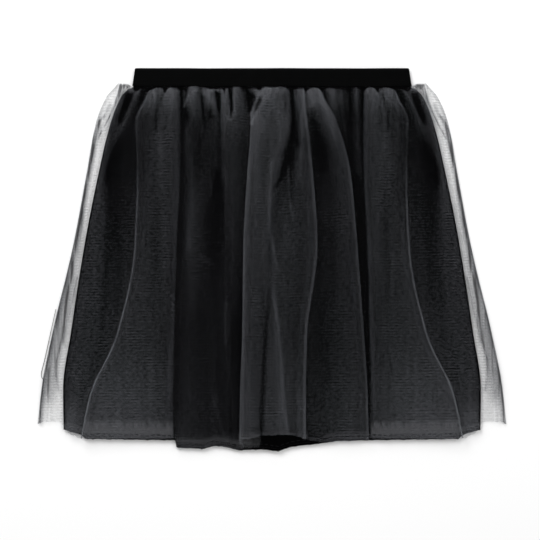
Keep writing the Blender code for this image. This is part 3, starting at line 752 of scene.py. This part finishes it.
def noise_in(tree, place, stretch, scale, detail):
    """Soft noise from -1 to 1, with its place stretched across and down the cloth."""
    stretched = add_node(tree, "ShaderNodeVectorMath", {0: place, 1: (*stretch, 1.0)}, operation="MULTIPLY")
    inputs = {"Scale": scale, "Detail": detail, "Vector": stretched.outputs[0]}
    noise = add_node(tree, "ShaderNodeTexNoise", inputs, noise_dimensions="2D")
    return maths(tree, "MULTIPLY_ADD", noise.outputs[0], 2.0, -1.0)


def split_place(tree, place):
    return add_node(tree, "ShaderNodeSeparateXYZ", {0: place}).outputs


def net_group():
    """Diagonal threads crossing in six-sided holes, the rows the net was made in, and uneven grain."""
    group, named, out = new_group(
        "net_threads",
        {
            "Cloth": "Vector",
            "Hole": 0.0016,
            "Row": 0.0031,
            "Row Strength": 0.2,
            "Grain Strength": 0.2,
            "Patch Strength": 0.2,
        },
        {"Thread": "Float", "Grain": "Float", "Height": "Float"},
    )
    place = named["Cloth"]
    u, v, _ = split_place(group, place)
    across_holes = maths(group, "DIVIDE", u, named["Hole"])
    down_holes = maths(group, "DIVIDE", maths(group, "MULTIPLY", v, 0.62), named["Hole"])
    lines = []
    for crossing in ("ADD", "SUBTRACT"):
        turn = maths(group, "MULTIPLY", maths(group, crossing, across_holes, down_holes), np.pi)
        lines.append(maths(group, "ABSOLUTE", maths(group, "SINE", turn)))
    thread = maths(group, "SUBTRACT", 1.0, maths(group, "MINIMUM", *lines))

    grain = noise_in(group, place, (1.0, 1.0), 680.0, 1.0)
    streak = noise_in(group, place, (0.45, 1.0), 520.0, 0.0)
    patch = noise_in(group, place, (1.0, 0.6), 40.0, 2.0)
    row = maths(group, "SINE", maths(group, "DIVIDE", maths(group, "MULTIPLY", v, 2 * np.pi), named["Row"]))
    row = maths(group, "MULTIPLY", row, named["Row Strength"])
    row = maths(group, "MULTIPLY", row, maths(group, "MULTIPLY_ADD", patch, 1.6, 0.6))
    grain = maths(group, "MULTIPLY", maths(group, "ADD", grain, streak), named["Grain Strength"])
    patch = maths(group, "MULTIPLY", patch, named["Patch Strength"])
    feed(group, out, {
        "Thread": maths(group, "ADD", maths(group, "MULTIPLY_ADD", thread, 0.9, 0.55), patch),
        "Grain": maths(group, "ADD", row, grain),
        "Height": thread,
    })
    return group


def weave_group():
    """Fine crossing yarns, and soft uneven patches."""
    group, named, out = new_group(
        "woven_yarns",
        {"Place": "Vector", "Across": 2500.0, "Down": 2500.0, "Patch Scale": 60.0},
        {"Yarn": "Float", "Patch": "Float"},
    )
    u, v, _ = split_place(group, named["Place"])
    one = maths(group, "SINE", maths(group, "MULTIPLY", u, named["Across"]))
    two = maths(group, "SINE", maths(group, "MULTIPLY", v, named["Down"]))
    yarn = maths(group, "MULTIPLY_ADD", maths(group, "MULTIPLY", one, two), 0.5, 0.5)
    noise = add_node(group, "ShaderNodeTexNoise",
                     {"Detail": 4.0, "Scale": named["Patch Scale"], "Vector": named["Place"]})
    feed(group, out, {"Yarn": yarn, "Patch": noise.outputs[0]})
    return group


def new_material(name):
    material = bpy.data.materials.new(name)
    material.use_nodes = True
    return material, material.node_tree, material.node_tree.nodes["Principled BSDF"]


def cloth_map(tree):
    return add_node(tree, "ShaderNodeUVMap", {}, uv_map="cloth").outputs[0]


def object_place(tree):
    return tree.nodes.new("ShaderNodeTexCoord").outputs["Object"]


def attribute(tree, name):
    return add_node(tree, "ShaderNodeAttribute", {}, attribute_name=name).outputs["Fac"]


def bump(tree, height, strength, distance):
    inputs = {"Strength": strength, "Distance": distance, "Height": height}
    return add_node(tree, "ShaderNodeBump", inputs).outputs[0]


def two_colours(tree, mask, dark, light):
    """From one colour to another by a mask; each colour is three numbers or a socket."""
    dark, light = (c if isinstance(c, bpy.types.NodeSocket) else (*c, 1) for c in (dark, light))
    return add_node(tree, "ShaderNodeMix", {0: mask, 6: dark, 7: light}, data_type="RGBA").outputs[2]


def net_material(name, threads, colour, row_strength, grain_strength):
    """Black net: threads hide what is behind them by the piece's cover, and holes show it."""
    material, tree, shader = new_material(name)
    strengths = {"Row Strength": row_strength, "Grain Strength": grain_strength}
    net = add_node(tree, "ShaderNodeGroup", {}, node_tree=threads)
    feed(tree, net, {"Cloth": cloth_map(tree), **strengths})
    # the cover attribute: the net's crowding together with painted shade and painted light
    cover_with_shading = attribute(tree, "cover")
    open_share = maths(tree, "MULTIPLY", cover_with_shading, maths(tree, "SUBTRACT", 1.0, cover_with_shading))
    holes = maths(tree, "SUBTRACT", net.outputs["Thread"], 1.0)
    threads_seen = maths(tree, "MULTIPLY_ADD", holes, open_share, cover_with_shading)
    grain_share = maths(tree, "MULTIPLY_ADD", cover_with_shading, -0.4, 0.22)
    grain_share = maths(tree, "MULTIPLY_ADD", cover_with_shading, grain_share, 0.016, clamp=True)
    grain_share = maths(tree, "MINIMUM", grain_share, cover_with_shading)
    alpha = maths(tree, "MULTIPLY_ADD", grain_share, net.outputs["Grain"], threads_seen, clamp=True)
    # painted shade: crowded net darker than open net
    bunched_shade = maths(tree, "MULTIPLY_ADD", cover_with_shading, 2.5, -1.0, clamp=True)
    # painted shade: the net's colour 20 percent darker away from the threads' crowns
    shaded_threads = two_colours(tree, net.outputs["Height"], tuple(0.8 * c for c in colour), colour)
    feed(tree, shader, {
        "Alpha": alpha,
        "Base Color": two_colours(tree, bunched_shade, shaded_threads, BUNCHED_SHADE_GREY),
        "Normal": bump(tree, net.outputs["Height"], 0.3, 0.0002),
        "Roughness": 0.7,
        "Specular IOR Level": 0.3,
        "Sheen Weight": 0.35,
        "Sheen Roughness": 0.4,
        "Sheen Tint": (*NET_SHEEN, 1),
    })
    return material


def satin_material(weave):
    material, tree, shader = new_material("black_satin")
    cloth = add_node(tree, "ShaderNodeGroup", {}, node_tree=weave)
    feed(tree, cloth, {"Place": cloth_map(tree), "Across": 5200.0, "Down": 5200.0, "Patch Scale": 22.0})
    plain = two_colours(tree, cloth.outputs["Patch"], SATIN_DARK, SATIN_LIGHT)
    feed(tree, shader, {
        # painted sheen on the turned hem
        "Base Color": two_colours(tree, attribute(tree, "turned"), plain, HEM_SHEEN_SATIN),
        "Roughness": maths(tree, "MULTIPLY_ADD", cloth.outputs["Patch"], 0.2, 0.38),
        "Normal": bump(tree, cloth.outputs["Yarn"], 0.15, 0.0001),
        "Specular IOR Level": 0.005,
    })
    return material


def elastic_material(weave):
    """Ribbed elastic, read in the object's own place: ribs run along the band, ticks across them."""
    material, tree, shader = new_material("black_elastic")
    rib_pitch, tick_pitch, row_pitch = 0.0016, 0.0011, 0.0026
    place = object_place(tree)
    cloth = add_node(tree, "ShaderNodeGroup", {}, node_tree=weave)
    feed(tree, cloth, {"Place": place, "Across": 2 * np.pi / tick_pitch, "Down": 2 * np.pi / row_pitch,
                       "Patch Scale": 90.0})
    y = split_place(tree, place)[1]
    rib = maths(tree, "SINE", maths(tree, "MULTIPLY", y, 2 * np.pi / rib_pitch))
    rib = maths(tree, "MULTIPLY_ADD", rib, 0.35, 0.5)
    height = maths(tree, "ADD", rib, maths(tree, "MULTIPLY", cloth.outputs["Yarn"], 0.3))
    near_top = maths(tree, "ABSOLUTE", maths(tree, "SUBTRACT", y, (TOP_Y - 1.6) * MM))
    line = maths(tree, "SUBTRACT", 1.0, maths(tree, "DIVIDE", near_top, 0.0009), clamp=True)
    mask = maths(tree, "ADD", maths(tree, "MULTIPLY", cloth.outputs["Patch"], 0.35), line, clamp=True)
    feed(tree, shader, {
        "Base Color": two_colours(tree, mask, ELASTIC_DARK, ELASTIC_LIGHT),
        "Normal": bump(tree, height, 0.5, 0.0003),
        "Roughness": 0.6,
        "Specular IOR Level": 0.02,
    })
    return material


def thread_material():
    material, tree, shader = new_material("overlock_thread")
    noise = add_node(tree, "ShaderNodeTexNoise", {"Scale": 900.0, "Vector": object_place(tree)})
    feed(tree, shader, {
        "Base Color": two_colours(tree, noise.outputs[0], THREAD_DARK, THREAD_LIGHT),
        "Roughness": 0.65,
        "Specular IOR Level": 0.02,
    })
    return material


# Stitches

def stitch_tree():
    """Small thread bars set evenly along a line, each turned by a slant and a little unevenly."""
    tree, named, out = new_group(
        "thread_bars",
        {
            "Geometry": "Geometry",
            "Spacing": 0.0026,
            "Bar Length": 0.0016,
            "Bar Radius": 0.0002,
            "Slant": 0.0,
            "Uneven": 0.1,
            "Seed": 3,
            "Material": "Material",
        },
        {"Geometry": "Geometry"},
        kind="GeometryNodeTree",
    )
    path = add_node(tree, "GeometryNodeMeshToCurve", {"Mesh": named["Geometry"]})
    points = add_node(tree, "GeometryNodeCurveToPoints",
                      {"Curve": path.outputs["Curve"], "Length": named["Spacing"]}, mode="LENGTH")
    bar = add_node(tree, "GeometryNodeMeshCylinder",
                   {"Vertices": 6, "Radius": named["Bar Radius"], "Depth": named["Bar Length"]})
    backward = maths(tree, "MULTIPLY", named["Uneven"], -1.0)
    uneven = add_node(tree, "FunctionNodeRandomValue",
                      {2: backward, 3: named["Uneven"], "Seed": named["Seed"]}, data_type="FLOAT")
    turned = add_node(tree, "ShaderNodeCombineXYZ", {0: maths(tree, "ADD", named["Slant"], uneven.outputs[1])})
    turn = add_node(tree, "FunctionNodeRotateRotation", {0: points.outputs["Rotation"], 1: turned.outputs[0]},
                    rotation_space="LOCAL")
    placed = add_node(tree, "GeometryNodeInstanceOnPoints", {
        "Points": points.outputs["Points"],
        "Instance": bar.outputs["Mesh"],
        "Rotation": turn.outputs[0],
    })
    whole = add_node(tree, "GeometryNodeRealizeInstances", {0: placed.outputs[0]})
    coloured = add_node(tree, "GeometryNodeSetMaterial",
                        {"Geometry": whole.outputs[0], "Material": named["Material"]})
    feed(tree, out, {0: coloured.outputs[0]})
    return tree


def stitch_piece(name, tree, lines, material, sizes):
    """A plain mesh of thread bars along lines, each an array of points in millimetres."""
    points, edges = [], []
    for places in lines:
        first = len(points)
        points += (places * MM).tolist()
        edges += [(first + k, first + k + 1) for k in range(len(places) - 1)]
    mesh = bpy.data.meshes.new(name + "_lines")
    mesh.from_pydata(points, edges, [])
    source = add_object(name + "_lines", mesh)
    modifier = source.modifiers.new("thread_bars", "NODES")
    modifier.node_group = tree
    wanted = {"Material": material, **sizes}
    for item in tree.interface.items_tree:
        if item.in_out == "INPUT" and item.name in wanted:
            modifier[item.identifier] = wanted[item.name]
    bpy.context.view_layer.update()
    made = bpy.data.meshes.new_from_object(source.evaluated_get(bpy.context.evaluated_depsgraph_get()))
    made.name = name
    bpy.data.objects.remove(source)
    return add_object(name, made)


def hem_lines(front, back, rise, lift):
    """Lines that follow the lining's hem a little above it, over the front and under the back."""
    return [grid[-1, 3:-3] + (0, rise, side * lift) for grid, side in ((front, 1), (back, -1))]


# The whole skirt

def over_piece(threads):
    rows = rows_down(OVER_ROWS)
    side_edge = SIDE_LINES["side_edge"].path
    front, front_cover = over_front(rows)
    back, wave = flat_back(rows, side_edge, BACK_NET_HEM, OVER_BACK_Z, OVER_BACK_POINTS, 0.5)
    side = half_width(side_edge, rows) - np.abs(back[:, :, 0])
    back_cover = 0.04 + 0.04 * wave**3 + 0.3 * bell(side - 1, 1.6)
    material = net_material("black_net_over", threads, OVER_GREY, 1.5, 2.2)
    return cloth_tube("net_over", material, front, back, (front_cover, back_cover))


def under_piece(threads, rows, relief):
    side_z = LINING_BACK_Z + 0.1
    front = inner_front(rows, UNDER_HALF, UNDER_HEM, UNDER_FRONT_Z, 0.30, UNDER_POINTS[0], side_z, relief)
    x, y = front[:, :, 0], front[:, :, 1]
    beyond = smooth_step((np.abs(x) - half_width(LINING_HALF, rows)) / 3)
    front_cover = (0.007 + 0.055 * beyond) * (1 + unevenness(x, y, *UNDER_TONE))
    low = smooth_step((-188 - y) / 6)
    for start, end, more in UNDER_HEM_COVER:
        front_cover += more * low * smooth_step((x - start) / 2) * smooth_step((end - x) / 2)
    front[:, :, 2] += np.maximum(unevenness(x, y, *UNDER_RELIEF), 0)
    back, wave = flat_back(rows, UNDER_HALF, BACK_NET_HEM, UNDER_BACK_Z, UNDER_POINTS[1], 0.4)
    material = net_material("black_net_under", threads, UNDER_GREY, 0.5, 0.8)
    return cloth_tube("net_under", material, front, back, (front_cover, 0.05 + 0.06 * wave**3))


def lining_piece(weave, rows, relief):
    """The lining, and its front and back that the hem's stitches follow."""
    z = LINING_FRONT_Z
    front = inner_front(rows, LINING_HALF, LINING_HEM, z, 0.15, LINING_POINTS[0], z, relief)
    back, _ = flat_back(rows, LINING_HALF, LINING_HEM, LINING_BACK_Z, LINING_POINTS[1], 0.3)
    lining = cloth_tube("satin_lining", satin_material(weave), front, back)
    grid = np.concatenate([front, back], axis=1)
    # where the turned hem's painted sheen lies
    set_attribute(lining, "turned", hem_bands(grid[:, :, 0], grid[:, :, 1] - grid[-1, :, 1]))
    return lining, front, back


def build_pieces():
    threads, weave = net_group(), weave_group()
    over = over_piece(threads)
    rows = rows_down(INNER_ROWS)
    relief, _ = across(over_lines(rows)[0], 10)
    under = under_piece(threads, rows, relief)
    lining, front, back = lining_piece(weave, rows, relief)
    band = waistband_piece(elastic_material(weave))

    tree, thread = stitch_tree(), thread_material()
    line = hem_lines(front, back, STITCH_RISE, 0.35)
    needle = stitch_piece("needle_stitches", tree, line, thread, NEEDLE_STITCH)
    line = hem_lines(front, back, STITCH_RISE / 2, 0.3)
    edging = stitch_piece("edge_stitches", tree, line, thread, EDGE_STITCH)
    stations = np.arange(len(LOOSE_THREAD))
    path = smooth_through(stations, LOOSE_THREAD, np.linspace(0, stations[-1], 60))
    loose = stitch_piece("loose_thread", tree, [path], thread, LOOSE_BARS)
    return over, under, lining, band, needle, edging, loose


def declare(over, under, lining, band, needle, edging, loose):
    for piece, slot, *nodes in (
        (over, "black_net", "net_over_front", "net_over_back"),
        (under, "black_net", "net_under_front", "net_under_back"),
        (lining, "black_satin", "lining_front", "lining_back"),
        (band, "black_elastic", "waistband"),
        (needle, "black_satin"),
        (edging, "black_satin"),
        (loose, "black_net"),
    ):
        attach(piece, "root")
        if nodes:
            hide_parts(*nodes)


def studio():
    """A pale floor, soft lights and the camera straight above."""
    mesh = bpy.data.meshes.new("floor")
    mesh.from_pydata([(-3, -3, 0), (3, -3, 0), (3, 3, 0), (-3, 3, 0)], [], [(0, 1, 2, 3)])
    material, tree, shader = new_material("pale_floor")
    feed(tree, shader, {"Base Color": (0.97, 0.97, 0.97, 1), "Roughness": 0.9, "Specular IOR Level": 0.0})
    mesh.materials.append(material)
    add_object("floor", mesh)

    world = bpy.data.worlds.new("soft_room")
    world.use_nodes = True
    feed(world.node_tree, world.node_tree.nodes["Background"], {0: (1, 1, 1, 1), 1: 0.55})
    bpy.context.scene.world = world

    for name, place, size, power in (
        ("key_light", (-0.7, 1.3, 1.5), 0.9, 26.0),
        ("fill_light", (0.9, 0.5, 1.8), 1.2, 10.0),
    ):
        data = bpy.data.lights.new(name, "AREA")
        data.shape = "SQUARE"
        data.size = size
        data.energy = power
        light = add_object(name, data)
        light.location = place
        light.rotation_euler = (-Vector(place)).to_track_quat("-Z", "Y").to_euler()

    camera_data = bpy.data.cameras.new("photo_camera")
    camera_data.sensor_width = SENSOR_WIDTH
    camera_data.lens = SENSOR_WIDTH * CAMERA_HEIGHT / VIEW_WIDTH
    camera = add_object("photo_camera", camera_data)
    camera.location = (CAMERA_X, CAMERA_Y, CAMERA_HEIGHT)
    bpy.context.scene.camera = camera
    bpy.context.scene.view_settings.view_transform = "Standard"
    bpy.context.scene.cycles.transparent_max_bounces = 24


studio()
declare(*build_pieces())
